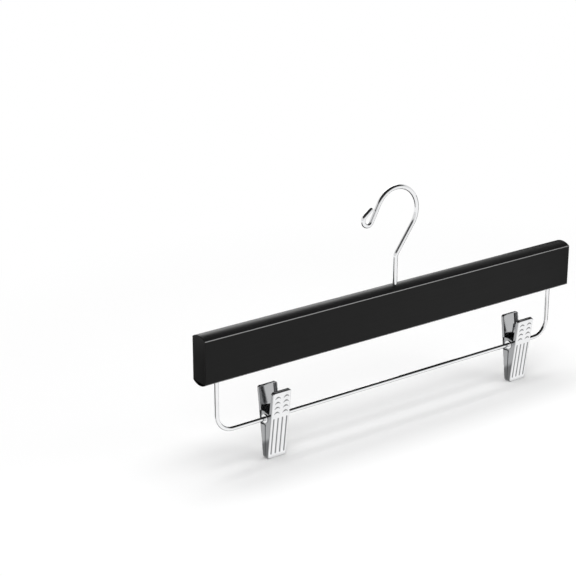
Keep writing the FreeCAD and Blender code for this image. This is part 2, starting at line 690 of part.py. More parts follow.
def make_spring(clip):
    """Torsion spring: an open coil round the rivet with one leg behind each finger pad."""
    wire = value("sizes.spring_wire_dia")
    radius = value("sizes.sleeve_dia/2 + sizes.spring_coil_clearance + sizes.spring_wire_dia/2")
    pitch = value("sizes.spring_pitch")
    leg = value("sizes.spring_leg_length")
    backing = value("sizes.jaw_offset - sizes.jaw_sheet")
    seat = backing - value("sizes.spring_wire_dia/2 + sizes.spring_seat_clearance")
    slant = math.asin(seat/math.hypot(radius, leg)) - math.atan2(radius, leg)
    spread = value(JAW_LEAN) + math.degrees(slant)
    first = 180 + spread
    last = 360*SPRING_LOOPS - spread
    middle = (first + last)/2

    def coil_point(degrees):
        turn = math.radians(degrees)
        along = (degrees - middle)/360*pitch
        return FreeCAD.Vector(along, radius*math.cos(turn), radius*math.sin(turn))

    def coil_tangent(degrees):
        turn = math.radians(degrees)
        tangent = FreeCAD.Vector(pitch/(2*math.pi), -radius*math.sin(turn), radius*math.cos(turn))
        return tangent.normalize()

    spans = math.ceil((last - first)/90)
    stops = [first + (last - first)*number/spans for number in range(spans + 1)]
    front_end = coil_point(first) - coil_tangent(first)*leg
    rear_end = coil_point(last) + coil_tangent(last)*leg
    edges = [Part.LineSegment(front_end, coil_point(first)).toShape()]
    for begin, end in zip(stops, stops[1:]):
        edges.extend(biarc(coil_point(begin), coil_tangent(begin), coil_point(end), coil_tangent(end)))
    edges.append(Part.LineSegment(coil_point(last), rear_end).toShape())
    path = Part.Wire(edges)
    circle = Part.Circle(front_end, coil_tangent(first), wire/2)
    tube = path.makePipeShell([Part.Wire(circle.toShape())], True, False)
    solid = tube if tube.ShapeType == "Solid" else Part.Solid(tube)
    expected = path.Length*math.pi*wire**2/4
    print(f"{clip}_torsion_spring volume over section times length: {solid.Volume/expected:.4f}")

    samples = spans*COIL_SAMPLES
    steps = [first + (last - first)*number/samples for number in range(samples + 1)]
    points = [coil_point(degrees) for degrees in steps]
    least = min(
        points[a].distanceToPoint(points[b])
        for a in range(len(points))
        for b in range(a + 1, len(points))
        if steps[b] - steps[a] > 180
    )
    print(f"{clip}_torsion_spring least gap to itself: {least - wire:.3f} mm")
    spring = doc.addObject("Part::Feature", f"{clip}_torsion_spring")
    spring.Label = f"{clip}_torsion_spring"
    spring.Shape = solid
    spring.Placement = FreeCAD.Placement(
        FreeCAD.Vector(value(CLIP_PLACE[clip]), 0, value(RAIL_LEVEL)),
        FreeCAD.Rotation(),
    )
    return spring


pieces = [make_bar(), make_hook(), make_washer(), make_rail()]
for clip in CLIP_PLACE:
    pieces.append(make_sleeve(clip))
    pieces.append(make_spring(clip))
    for face, turn in (("front", 0), ("rear", 180)):
        pieces.append(make_jaw(clip, face, turn))
        pieces.append(make_pad(clip, face, turn))
doc.recompute()

for item in doc.Objects:
    faults = [state for state in item.State if state in ("Invalid", "Error")]
    if faults:
        raise RuntimeError(f"{item.Label} failed: {faults}")
for piece in pieces:
    if piece.Shape.isNull() or not piece.Shape.isValid() or len(piece.Shape.Solids) != 1:
        raise RuntimeError(f"{piece.Label} is not one valid solid")

os.makedirs("parts", exist_ok=True)
for piece in pieces:
    piece.Shape.exportStep(f"parts/{piece.Label}.step")
    print(f"{piece.Label}: {piece.Shape.Volume:.1f} mm3")
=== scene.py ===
"""Black wooden skirt hanger with a chrome swivel hook, a wire rail and two sprung clips."""

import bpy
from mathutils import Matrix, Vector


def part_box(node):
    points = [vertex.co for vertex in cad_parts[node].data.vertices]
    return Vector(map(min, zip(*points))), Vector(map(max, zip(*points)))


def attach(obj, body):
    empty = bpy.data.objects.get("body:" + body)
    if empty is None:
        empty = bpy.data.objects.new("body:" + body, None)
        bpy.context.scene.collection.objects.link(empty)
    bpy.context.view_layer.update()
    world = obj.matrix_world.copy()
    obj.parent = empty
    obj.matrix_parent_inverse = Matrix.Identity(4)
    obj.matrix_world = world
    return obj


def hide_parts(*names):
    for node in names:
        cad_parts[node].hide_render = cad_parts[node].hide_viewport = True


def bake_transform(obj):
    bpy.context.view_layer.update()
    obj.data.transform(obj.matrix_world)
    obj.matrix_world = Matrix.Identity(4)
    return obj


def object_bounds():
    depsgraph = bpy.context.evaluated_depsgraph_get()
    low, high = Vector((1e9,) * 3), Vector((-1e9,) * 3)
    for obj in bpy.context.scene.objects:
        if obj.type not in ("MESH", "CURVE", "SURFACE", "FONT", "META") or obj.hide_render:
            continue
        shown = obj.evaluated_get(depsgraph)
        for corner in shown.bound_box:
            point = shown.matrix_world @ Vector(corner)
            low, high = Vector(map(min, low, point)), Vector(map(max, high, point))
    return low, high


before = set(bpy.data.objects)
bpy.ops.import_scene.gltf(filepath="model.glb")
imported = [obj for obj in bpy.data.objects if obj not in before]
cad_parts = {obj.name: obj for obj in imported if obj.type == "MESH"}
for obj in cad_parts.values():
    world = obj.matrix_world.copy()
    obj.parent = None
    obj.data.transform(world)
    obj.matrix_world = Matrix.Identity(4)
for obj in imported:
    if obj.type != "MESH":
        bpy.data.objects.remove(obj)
CAD_BOX = [list(corner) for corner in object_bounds()]

import logging
import math
from collections.abc import Callable, Iterator
from contextlib import contextmanager
from dataclasses import dataclass, field
from enum import Enum
from typing import Any

import bmesh
import bpy
from mathutils import Matrix, Vector

LOG = logging.getLogger("skirt_hanger")

# Pieces are modelled in millimetres and scaled to metres when they are handed over
MM = 0.001
MODEL_TO_METRES = Matrix.Scale(MM, 4)

# Corners closer than this are one, and so are faces that bend less than this
WELD = 1e-4
FLAT_ANGLE = math.radians(0.3)

# A face looks along an axis if its normal has more than this share of it
FACING = 0.9

# How far a cutter stands past the piece that it cuts
BEYOND = 2.0

# Flats round bent wire, and round turned pieces and drills
WIRE_SIDES = 48
TURNED_SIDES = 64

# Range that a noise texture seldom leaves
NOISE_RANGE = (0.3, 0.7)

X = Vector((1.0, 0.0, 0.0))
Y = Vector((0.0, 1.0, 0.0))
Z = Vector((0.0, 0.0, 1.0))

Outline = list[tuple[float, float]]

# Mesh attribute that says where shade is painted on the stamped sheet
SHADE_ATTRIBUTE = "pressed"


class Side(Enum):
    """The two clips, as seen from the front."""

    LEFT = "left"
    RIGHT = "right"


class Face(Enum):
    """The two halves of a clip, with the half turn that makes a rear one of a front one."""

    FRONT = 0.0
    REAR = 180.0

    @property
    def word(self) -> str:
        """Name of the half in the names of nodes and bodies."""
        return self.name.lower()

    @property
    def way(self) -> float:
        """Direction along X in which the half's end of the spring is wound."""
        return -1.0 if self is Face.FRONT else 1.0


class Carve(Enum):
    """What a tool does to the piece that it meets."""

    CUT = "DIFFERENCE"
    JOIN = "UNION"


class Part(Enum):
    """What is picked in edit mode, with the name of the edit mesh's list of it."""

    EDGE = "edges"
    FACE = "faces"


def linear(hex_colour: str) -> tuple[float, float, float, float]:
    """Turns an sRGB hex colour into linear light.

    Args:
        hex_colour: Six hex digits after a hash sign.

    Returns:
        Red, green, blue and full opacity.
    """
    channels = [int(hex_colour[start:start + 2], 16) / 255 for start in (1, 3, 5)]
    light = [c / 12.92 if c <= 0.04045 else ((c + 0.055) / 1.055) ** 2.4 for c in channels]
    return light[0], light[1], light[2], 1.0


def per_mm(size: float) -> float:
    """Pattern scale, in cycles per metre, for a feature of a size in millimetres."""
    return 1 / (size * MM)


def ease(off: float) -> float:
    """Falls smoothly from 1 to 0 as a distance grows from 0 to 1, and stays there."""
    return 0.5 + 0.5 * math.cos(math.pi * min(off, 1.0))


# Tools of the modelling bench


def deselect_all() -> None:
    """Leaves nothing selected, the CAD nodes included."""
    bpy.ops.object.select_all(action="DESELECT")


def make_active(obj: bpy.types.Object) -> None:
    """Selects one object alone and makes it the active one.

    Args:
        obj: The object.
    """
    deselect_all()
    obj.select_set(True)
    bpy.context.view_layer.objects.active = obj


@contextmanager
def editing(obj: bpy.types.Object) -> Iterator[bmesh.types.BMesh]:
    """Opens a mesh in edit mode with nothing selected, and closes it afterwards.

    Args:
        obj: The mesh object to edit.

    Returns:
        The edit mesh.
    """
    make_active(obj)
    bpy.ops.object.mode_set(mode="EDIT")
    bpy.ops.mesh.select_all(action="DESELECT")
    yield bmesh.from_edit_mesh(obj.data)
    bpy.ops.object.mode_set(mode="OBJECT")


def pick(obj: bpy.types.Object, part: Part, test: Callable[[Any], bool]) -> None:
    """Selects the faces or edges of an open edit mesh that pass a test, and no others.

    Args:
        obj: Object in edit mode.
        part: What is picked.
        test: Says whether a face or an edge is wanted.
    """
    bpy.ops.mesh.select_all(action="DESELECT")
    bpy.ops.mesh.select_mode(type=part.name)
    edit_mesh = bmesh.from_edit_mesh(obj.data)
    for element in getattr(edit_mesh, part.value):
        element.select_set(test(element))
    bmesh.update_edit_mesh(obj.data)


def round_edges(radius: float, segments: int) -> None:
    """Rounds the picked edges of the open edit mesh."""
    bpy.ops.mesh.bevel(offset=radius, segments=segments, affect="EDGES", clamp_overlap=False)


def apply_modifier(obj: bpy.types.Object, kind: str, **settings: Any) -> None:
    """Adds a modifier with its settings and applies it.

    Args:
        obj: Object to change.
        kind: Blender's name for the modifier.
        **settings: Values of the modifier's own fields.
    """
    make_active(obj)
    modifier = obj.modifiers.new(kind.lower(), kind)
    for name, value in settings.items():
        setattr(modifier, name, value)
    bpy.ops.object.modifier_apply(modifier=modifier.name)


def carve(obj: bpy.types.Object, tool: bpy.types.Object, action: Carve) -> None:
    """Cuts a closed tool out of a piece or joins it on, and takes the tool away."""
    apply_modifier(obj, "BOOLEAN", object=tool, operation=action.value, solver="EXACT")
    bpy.data.objects.remove(tool)


def add_box(name: str, low: Vector, high: Vector) -> bpy.types.Object:
    """Adds a box between two corners.

    Args:
        name: Name of the object.
        low: Lowest corner.
        high: Highest corner.

    Returns:
        The box, with its size in its mesh.
    """
    deselect_all()
    bpy.ops.mesh.primitive_cube_add(size=1, location=(low + high) / 2)
    box = bpy.context.object
    box.name = name
    box.scale = high - low
    bpy.ops.object.transform_apply()
    return box


def add_rod(start: Vector, end: Vector, radius: float) -> bpy.types.Object:
    """Adds a straight round cutter between two points.

    Args:
        start: Middle of one end.
        end: Middle of the other end.
        radius: Radius of the rod.

    Returns:
        The rod, with its place in its mesh.
    """
    deselect_all()
    along = end - start
    bpy.ops.mesh.primitive_cylinder_add(
        vertices=TURNED_SIDES,
        radius=radius,
        depth=along.length,
        location=(start + end) / 2,
        rotation=along.to_track_quat("Z", "Y").to_euler(),
    )
    bpy.ops.object.transform_apply()
    return bpy.context.object


def add_prism(name: str, outline: Outline, start: float, end: float) -> bpy.types.Object:
    """Draws a side view, corner by corner, and extrudes it across the width.

    Args:
        name: Name of the object.
        outline: Corners of the side view as depth and height.
        start: Place of the first side along X.
        end: Place of the second side along X.

    Returns:
        The closed prism.
    """
    deselect_all()
    bpy.ops.mesh.primitive_circle_add(vertices=len(outline), fill_type="NGON")
    prism = bpy.context.object
    prism.name = name
    with editing(prism) as edit_mesh:
        for corner, (depth, height) in zip(edit_mesh.verts, outline):
            corner.co = (start, depth, height)
        bpy.ops.mesh.select_all(action="SELECT")
        bpy.ops.mesh.extrude_region_move(TRANSFORM_OT_translate={"value": (end - start, 0, 0)})
        bpy.ops.mesh.select_all(action="SELECT")
        bpy.ops.mesh.normals_make_consistent(inside=False)
    return prism


def smooth(obj: bpy.types.Object, sharp_degrees: float = 35.0) -> None:
    """Shades a piece smooth, apart from edges sharper than an angle."""
    make_active(obj)
    bpy.ops.object.shade_smooth_by_angle(angle=math.radians(sharp_degrees))


def copy_of(obj: bpy.types.Object, name: str) -> bpy.types.Object:
    """Copies a piece with a mesh of its own.

    Args:
        obj: The model piece.
        name: Name of the copy.

    Returns:
        The copy.
    """
    twin = obj.copy()
    twin.data = obj.data.copy()
    twin.name = name
    bpy.context.scene.collection.objects.link(twin)
    return twin


class RoundForm:
    """Round form drawn out of one ring in edit mode: advanced, resized and bent ring by ring."""

    BEND_STEP = 4.0
    ROUND_STEPS = 6

    def __init__(
        self, name: str, radius: float, start: Vector, heading: Vector, sides: int = WIRE_SIDES
    ) -> None:
        """Adds the first ring and leaves it selected in edit mode.

        Args:
            name: Name of the object.
            radius: Radius of the first ring.
            start: Middle of the first ring.
            heading: Direction in which the form grows.
            sides: Flats round the form.
        """
        deselect_all()
        turn = heading.to_track_quat("Z", "Y").to_euler()
        bpy.ops.mesh.primitive_circle_add(vertices=sides, radius=radius, location=start, rotation=turn)
        self.obj = bpy.context.object
        self.obj.name = name
        bpy.ops.object.transform_apply()
        self.radius = radius
        self.at = start.copy()
        self.heading = heading.normalized()
        bpy.ops.object.mode_set(mode="EDIT")
        bpy.ops.mesh.select_mode(type="VERT")
        bpy.ops.mesh.select_all(action="SELECT")

    def advance(self, length: float, radius: float | None = None) -> None:
        """Extrudes the ring straight on, and resizes it if a radius is given.

        Args:
            length: Distance along the heading, which may be zero or negative.
            radius: New radius of the ring.
        """
        step = self.heading * length
        bpy.ops.mesh.extrude_region_move(TRANSFORM_OT_translate={"value": step})
        self.at = self.at + step
        if radius is not None:
            share = radius / self.radius
            bpy.ops.transform.resize(value=(share, share, share), center_override=self.at)
            self.radius = radius

    def bend(self, radius: float, degrees: float, axis: Vector) -> None:
        """Spins the ring about an axis on its left, seen with the axis pointing at the eye.

        Args:
            radius: Radius of the bend at the middle of the ring.
            degrees: Angle of the bend.
            axis: Direction of the axis.
        """
        centre = self.at + axis.cross(self.heading) * radius
        steps = math.ceil(degrees / self.BEND_STEP)
        bpy.ops.mesh.spin(steps=steps, angle=-math.radians(degrees), center=centre, axis=axis)
        turn = Matrix.Rotation(math.radians(degrees), 3, axis)
        self.at = centre + turn @ (self.at - centre)
        self.heading = turn @ self.heading

    def shoulder(self, fillet: float, growing: bool = False) -> None:
        """Draws the ring in, or out, along a quarter round.

        Args:
            fillet: Radius of the quarter round.
            growing: True where the ring grows wider instead of narrower.
        """
        base = self.radius + (fillet if growing else 0.0)
        done = 0.0
        for step in range(1, self.ROUND_STEPS + 1):
            angle = math.pi / 2 * step / self.ROUND_STEPS
            travel = 1 - math.cos(angle) if growing else math.sin(angle)
            drawn_in = 1 - math.sin(angle) if growing else 1 - math.cos(angle)
            self.advance(fillet * (travel - done), base - fillet * drawn_in)
            done = travel

    def finish(self) -> bpy.types.Object:
        """Welds rings that meet, closes open ends and leaves edit mode.

        Returns:
            The finished object.
        """
        bpy.ops.mesh.select_all(action="SELECT")
        bpy.ops.mesh.remove_doubles(threshold=WELD)
        bpy.ops.mesh.fill_holes(sides=0)
        bpy.ops.mesh.normals_make_consistent(inside=False)
        bpy.ops.object.mode_set(mode="OBJECT")
        smooth(self.obj)
        return self.obj


# Finishes


def empty_tree(owner: bpy.types.Material | bpy.types.World) -> bpy.types.NodeTree:
    """Turns on the nodes of a material or a world and clears them.

    Args:
        owner: The material or world.

    Returns:
        Its node tree, empty.
    """
    owner.use_nodes = True
    owner.node_tree.nodes.clear()
    return owner.node_tree


def add_node(
    tree: bpy.types.NodeTree, kind: str, inputs: dict[str, Any] | tuple[Any, ...] = (), **settings: Any
) -> bpy.types.Node:
    """Adds a shader node with its settings, and sets or links its inputs.

    Args:
        tree: Node tree that takes the node.
        kind: Blender's name for the node, after ShaderNode.
        inputs: By name or in order, a value, a socket to link, or a node whose first output to link.
        **settings: Values of the node's own fields.

    Returns:
        The node.
    """
    node = tree.nodes.new(f"ShaderNode{kind}")
    for name, value in settings.items():
        setattr(node, name, value)
    for key, value in inputs.items() if isinstance(inputs, dict) else enumerate(inputs):
        source = value.outputs[0] if isinstance(value, bpy.types.Node) else value
        if isinstance(source, bpy.types.NodeSocket):
            tree.links.new(source, node.inputs[key])
        else:
            node.inputs[key].default_value = source
    return node


@dataclass(frozen=True)
class Finish:
    """A surface finish, with the record's material slot that it stands for on a piece."""

    slot: str = ""
    name: str = ""

    def material(self) -> bpy.types.Material:
        """Gives the material of the finish, made the first time that it is asked for.

        Returns:
            The material.
        """
        made = bpy.data.materials.get(self.name)
        if made is None:
            made = bpy.data.materials.new(self.name)
            tree = empty_tree(made)
            add_node(tree, "OutputMaterial", {"Surface": self.draw(tree)})
        return made

    def draw(self, tree: bpy.types.NodeTree) -> bpy.types.Node:
        """Builds the nodes of the finish in an empty tree and gives the one for the surface."""
        raise NotImplementedError


@dataclass(frozen=True)
class BlackLacquer(Finish):
    """Sprayed satin black lacquer on beech. Sizes in mm.

    The eye sees an even near-black with a soft sheen. The closed grain of the wood shows only as
    faint streaks along the bar, the spray as a slight unevenness of the sheen, and the creases as
    pale lines of painted highlight.
    """

    slot: str = "black_lacquered_wood"
    name: str = "satin_black_lacquer_on_beech"
    deep: str = "#111111"
    pale: str = "#191919"
    # Pale grey of the painted highlight along the creases
    rubbed: str = "#8c8c8c"
    roughness: tuple[float, float] = (0.32, 0.40)
    specular: float = 0.12
    crease_middle: float = -93.3
    crease_rise: float = 16.3
    crease_depth: float = 8.0
    crease_reach: tuple[float, float] = (0.2, 0.5)
    streak_width: float = 1.1
    streak_length: float = 38.0
    streak_height: float = 0.05
    streak_strength: float = 0.12
    spray_size: float = 0.9
    spray_height: float = 0.03
    spray_strength: float = 0.10
    cloud_size: float = 26.0

    def draw(self, tree: bpy.types.NodeTree) -> bpy.types.Node:
        """Builds the nodes of the finish.

        Args:
            tree: Empty node tree of the material.

        Returns:
            The node for the surface.
        """
        place = add_node(tree, "TexCoord").outputs["Object"]
        stretch = (self.streak_width / self.streak_length, 1.0, 1.0)
        along = add_node(tree, "Mapping", {"Vector": place, "Scale": stretch})
        streaks = {"Vector": along, "Scale": per_mm(self.streak_width), "Detail": 5.0, "Roughness": 0.6}
        grain = add_node(tree, "TexNoise", streaks)
        spray = add_node(tree, "TexNoise", {"Vector": place, "Scale": per_mm(self.spray_size), "Detail": 2.0})
        cloud = add_node(tree, "TexNoise", {"Vector": place, "Scale": per_mm(self.cloud_size), "Detail": 3.0})
        tones = {"Factor": grain, "A": linear(self.deep), "B": linear(self.pale)}
        colour = add_node(tree, "Mix", tones, data_type="RGBA").outputs["Result"]
        sheen = add_node(tree, "MapRange", (cloud, *NOISE_RANGE, *self.roughness))
        # Painted highlight: the colour is mixed towards pale grey along the creases
        painted_highlight = {"Factor": self.draw_crease(tree, place), "A": colour, "B": linear(self.rubbed)}
        edges = add_node(tree, "Mix", painted_highlight, data_type="RGBA").outputs["Result"]
        raised = {"Strength": self.streak_strength, "Distance": self.streak_height * MM}
        ridges = add_node(tree, "Bump", {"Height": grain, **raised})
        misted = {"Strength": self.spray_strength, "Distance": self.spray_height * MM}
        skin = add_node(tree, "Bump", {"Height": spray, "Normal": ridges, **misted})
        return add_node(
            tree,
            "BsdfPrincipled",
            {"Base Color": edges, "Roughness": sheen, "Normal": skin, "Specular IOR Level": self.specular},
        )

    def draw_crease(self, tree: bpy.types.NodeTree, place: bpy.types.NodeSocket) -> bpy.types.Node:
        """Marks the four long creases, along which a highlight is painted.

        Args:
            tree: Node tree of the finish.
            place: Object coordinates.

        Returns:
            A node that gives 1 along a crease and 0 away from it.
        """
        middle = (0.0, 0.0, -self.crease_middle * MM)
        centred = add_node(tree, "VectorMath", (place, middle), operation="ADD")
        folded = add_node(tree, "VectorMath", (centred,), operation="ABSOLUTE")
        split = add_node(tree, "SeparateXYZ", (folded,)).outputs
        corner = add_node(tree, "CombineXYZ", {"Y": split["Y"], "Z": split["Z"]})
        crease = (0.0, self.crease_depth * MM, self.crease_rise * MM)
        away = add_node(tree, "VectorMath", (corner, crease), operation="DISTANCE").outputs["Value"]
        reach = [edge * MM for edge in self.crease_reach]
        return add_node(tree, "MapRange", (away, *reach, 1.0, 0.0), interpolation_type="SMOOTHSTEP")


@dataclass(frozen=True)
class PlatedSteel(Finish):
    """Steel under a bright plating, drawn or stamped before it was plated. Sizes in mm.

    The eye sees the surroundings, bent by a slight waviness of the steel below and dulled a little
    where the plating is less even.
    """

    colour: str = "#f4f4f5"
    tint: str = "#eaebec"
    sheen: tuple[float, float] = (0.05, 0.10)
    wave_size: float = 5.0
    wave_height: float = 0.02
    # Real flecks are too fine to show in the render, so these are drawn coarser
    fleck_size: float = 0.6
    fleck_height: float = 0.002

    def draw_tone(self, tree: bpy.types.NodeTree, wave: bpy.types.Node) -> bpy.types.NodeSocket:
        """Gives the colour of the plating, which follows the waviness of the steel."""
        tones = {"Factor": wave, "A": linear(self.colour), "B": linear(self.tint)}
        return add_node(tree, "Mix", tones, data_type="RGBA").outputs["Result"]

    def draw(self, tree: bpy.types.NodeTree) -> bpy.types.Node:
        """Builds the nodes of the finish.

        Args:
            tree: Empty node tree of the material.

        Returns:
            The node for the surface.
        """
        place = add_node(tree, "TexCoord").outputs["Object"]
        wave = add_node(tree, "TexNoise", {"Vector": place, "Scale": per_mm(self.wave_size), "Detail": 1.0})
        fleck = add_node(tree, "TexNoise", {"Vector": place, "Scale": per_mm(self.fleck_size), "Detail": 3.0})
        dulled = add_node(tree, "MapRange", (fleck, *NOISE_RANGE, *self.sheen))
        hollow = add_node(tree, "Bump", {"Height": wave, "Distance": self.wave_height * MM})
        pits = {"Height": fleck, "Normal": hollow, "Distance": self.fleck_height * MM}
        pitted = add_node(tree, "Bump", pits)
        tone = self.draw_tone(tree, wave)
        return add_node(
            tree,
            "BsdfPrincipled",
            {"Base Color": tone, "Metallic": 1.0, "Roughness": dulled, "Normal": pitted},
        )


@dataclass(frozen=True)
class StampedChrome(PlatedSteel):
    """Chrome on pressed sheet steel.

    The eye sees bright chrome with grey lines and grey flanges: shade is painted into the pressed
    grooves, over the corners of the raised dashes and on the sides.
    """

    slot: str = "chrome_sheet"
    name: str = "polished_chrome_on_stamped_sheet"
    sheen: tuple[float, float] = (0.08, 0.14)
    wave_size: float = 7.0
    # Grey of the painted shade in the grooves, over the dashes and on the flanges
    unpolished: str = "#6a6c6e"

    def draw_tone(self, tree: bpy.types.NodeTree, wave: bpy.types.Node) -> bpy.types.NodeSocket:
        """Gives the colour of the plating, greyer where shade is painted on it.

        Args:
            tree: Node tree of the finish.
            wave: The waviness of the steel.

        Returns:
            The colour.
        """
        # Painted shade, read from the mesh attribute
        shade_mask = add_node(tree, "Attribute", attribute_name=SHADE_ATTRIBUTE).outputs["Fac"]
        tones = {"Factor": shade_mask, "A": super().draw_tone(tree, wave), "B": linear(self.unpolished)}
        return add_node(tree, "Mix", tones, data_type="RGBA").outputs["Result"]


@dataclass(frozen=True)
class SoftVinyl(Finish):
    """Moulded soft black vinyl. Sizes in mm.

    The eye sees a matt black with a fine leathery skin from the mould.
    """

    slot: str = "vinyl"
    name: str = "moulded_soft_vinyl"
    deep: str = "#1b1b1c"
    pale: str = "#29292a"
    roughness: float = 0.6
    # The mould's real grain is too fine to show in the render, so this is drawn coarser
    skin_size: float = 0.5
    skin_height: float = 0.03
    skin_strength: float = 0.5

    def draw(self, tree: bpy.types.NodeTree) -> bpy.types.Node:
        """Builds the nodes of the finish.

        Args:
            tree: Empty node tree of the material.

        Returns:
            The node for the surface.
        """
        place = add_node(tree, "TexCoord").outputs["Object"]
        skin = add_node(tree, "TexVoronoi", {"Vector": place, "Scale": per_mm(self.skin_size)})
        tones = {"Factor": skin, "A": linear(self.pale), "B": linear(self.deep)}
        colour = add_node(tree, "Mix", tones, data_type="RGBA").outputs["Result"]
        raised = {"Height": skin, "Strength": self.skin_strength, "Distance": self.skin_height * MM}
        bump = add_node(tree, "Bump", raised)
        return add_node(
            tree, "BsdfPrincipled", {"Base Color": colour, "Roughness": self.roughness, "Normal": bump}
        )


@dataclass(frozen=True)
class WhiteFloor(Finish):
    """Matt white painted floor. Sizes in metres.

    The eye sees soft shadows near the hanger that fade into plain white. Chrome shows it white, with
    a painted shadow as a dim strip under and behind the clips.
    """

    name: str = "matt_white_floor"
    colour: str = "#fafafa"
    lit_middle: tuple[float, float, float] = (0.05, -0.05, 0.0)
    lit_reach: tuple[float, float] = (0.25, 0.55)
    # Painted shadow that only chrome shows: a dim strip under and behind the clips
    strip_middle: float = 0.010
    strip_reach: tuple[float, float] = (0.010, 0.018)
    strip_glow: tuple[float, float] = (0.38, 1.0)

    def draw(self, tree: bpy.types.NodeTree) -> bpy.types.Node:
        """Builds the nodes of the finish.

        Args:
            tree: Empty node tree of the material.

        Returns:
            The node for the surface.
        """
        place = add_node(tree, "TexCoord").outputs["Object"]
        matt = add_node(tree, "BsdfDiffuse", {"Color": linear(self.colour)})
        white = add_node(tree, "Emission")
        away = add_node(tree, "VectorMath", (place, self.lit_middle), operation="DISTANCE").outputs["Value"]
        far = add_node(tree, "MapRange", (away, *self.lit_reach), interpolation_type="SMOOTHSTEP")
        seen = add_node(tree, "MixShader", (far, matt, white))
        depth = add_node(tree, "SeparateXYZ", (place,)).outputs["Y"]
        off = add_node(tree, "Math", (depth, self.strip_middle), operation="SUBTRACT")
        beside = add_node(tree, "Math", (off,), operation="ABSOLUTE")
        edges = (beside, *self.strip_reach, *self.strip_glow)
        strip = add_node(tree, "MapRange", edges, interpolation_type="SMOOTHSTEP")
        mirrored = add_node(tree, "Emission", {"Strength": strip})
        path = add_node(tree, "LightPath").outputs
        return add_node(tree, "MixShader", (path["Is Glossy Ray"], seen, mirrored))


@dataclass(frozen=True)
class BlackCloth(Finish):
    """Black of the boards that only gloss shows. The eye sees it only as painted dark reflections, as lines
    in the chrome.
    """

    name: str = "matt_black_cloth"
    colour: str = "#101010"

    def draw(self, tree: bpy.types.NodeTree) -> bpy.types.Node:
        """Builds the nodes of the finish in an empty tree and gives the one for the surface."""
        return add_node(tree, "BsdfDiffuse", {"Color": linear(self.colour)})


LACQUER = BlackLacquer()
# Smooth drawn wire under chrome gives long, clean reflections
CHROME_WIRE = PlatedSteel(slot="chrome_wire", name="polished_chrome_on_drawn_wire")
CHROME_SHEET = StampedChrome()
# Bare spring wire is greyer than chrome, with the soft gloss of the drawing die
SPRING_STEEL = PlatedSteel(
    slot="spring_steel",
    name="bright_drawn_spring_wire",
    colour="#b4b7ba",
    tint="#9da0a4",
    sheen=(0.18, 0.28),
)
# Zinc is a dull, slightly blue grey, clouded in small patches
ZINC = PlatedSteel(
    slot="zinc_steel",
    name="zinc_plated_steel",
    colour="#c3c6ca",
    tint="#a9adb3",
    sheen=(0.30, 0.45),
    wave_size=1.5,
)
VINYL = SoftVinyl()
FLOOR = WhiteFloor()
PAINTED_REFLECTION_BLACK = BlackCloth()


def hand_over(
    obj: bpy.types.Object, placement: Matrix, finish: Finish, node: str, body: str | None = None
) -> None:
    """Places and dresses a finished piece, and says what it stands for and what it rides on.

    Args:
        obj: The piece, in millimetres.
        placement: Matrix from the model to its place, which goes into the mesh.
        finish: Its finish.
        node: Name of the CAD node that it stands for.
        body: Name of the body that it rides on, or None for a piece that rides on none.
    """
    make_active(obj)
    obj.matrix_world = placement
    bpy.ops.object.transform_apply()
    obj.data.materials.clear()
    obj.data.materials.append(finish.material())
    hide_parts(node)
    if body is not None:
        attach(obj, body)
    LOG.info("%s: %d faces for %s", obj.name, len(obj.data.polygons), node)


# Sub-assemblies


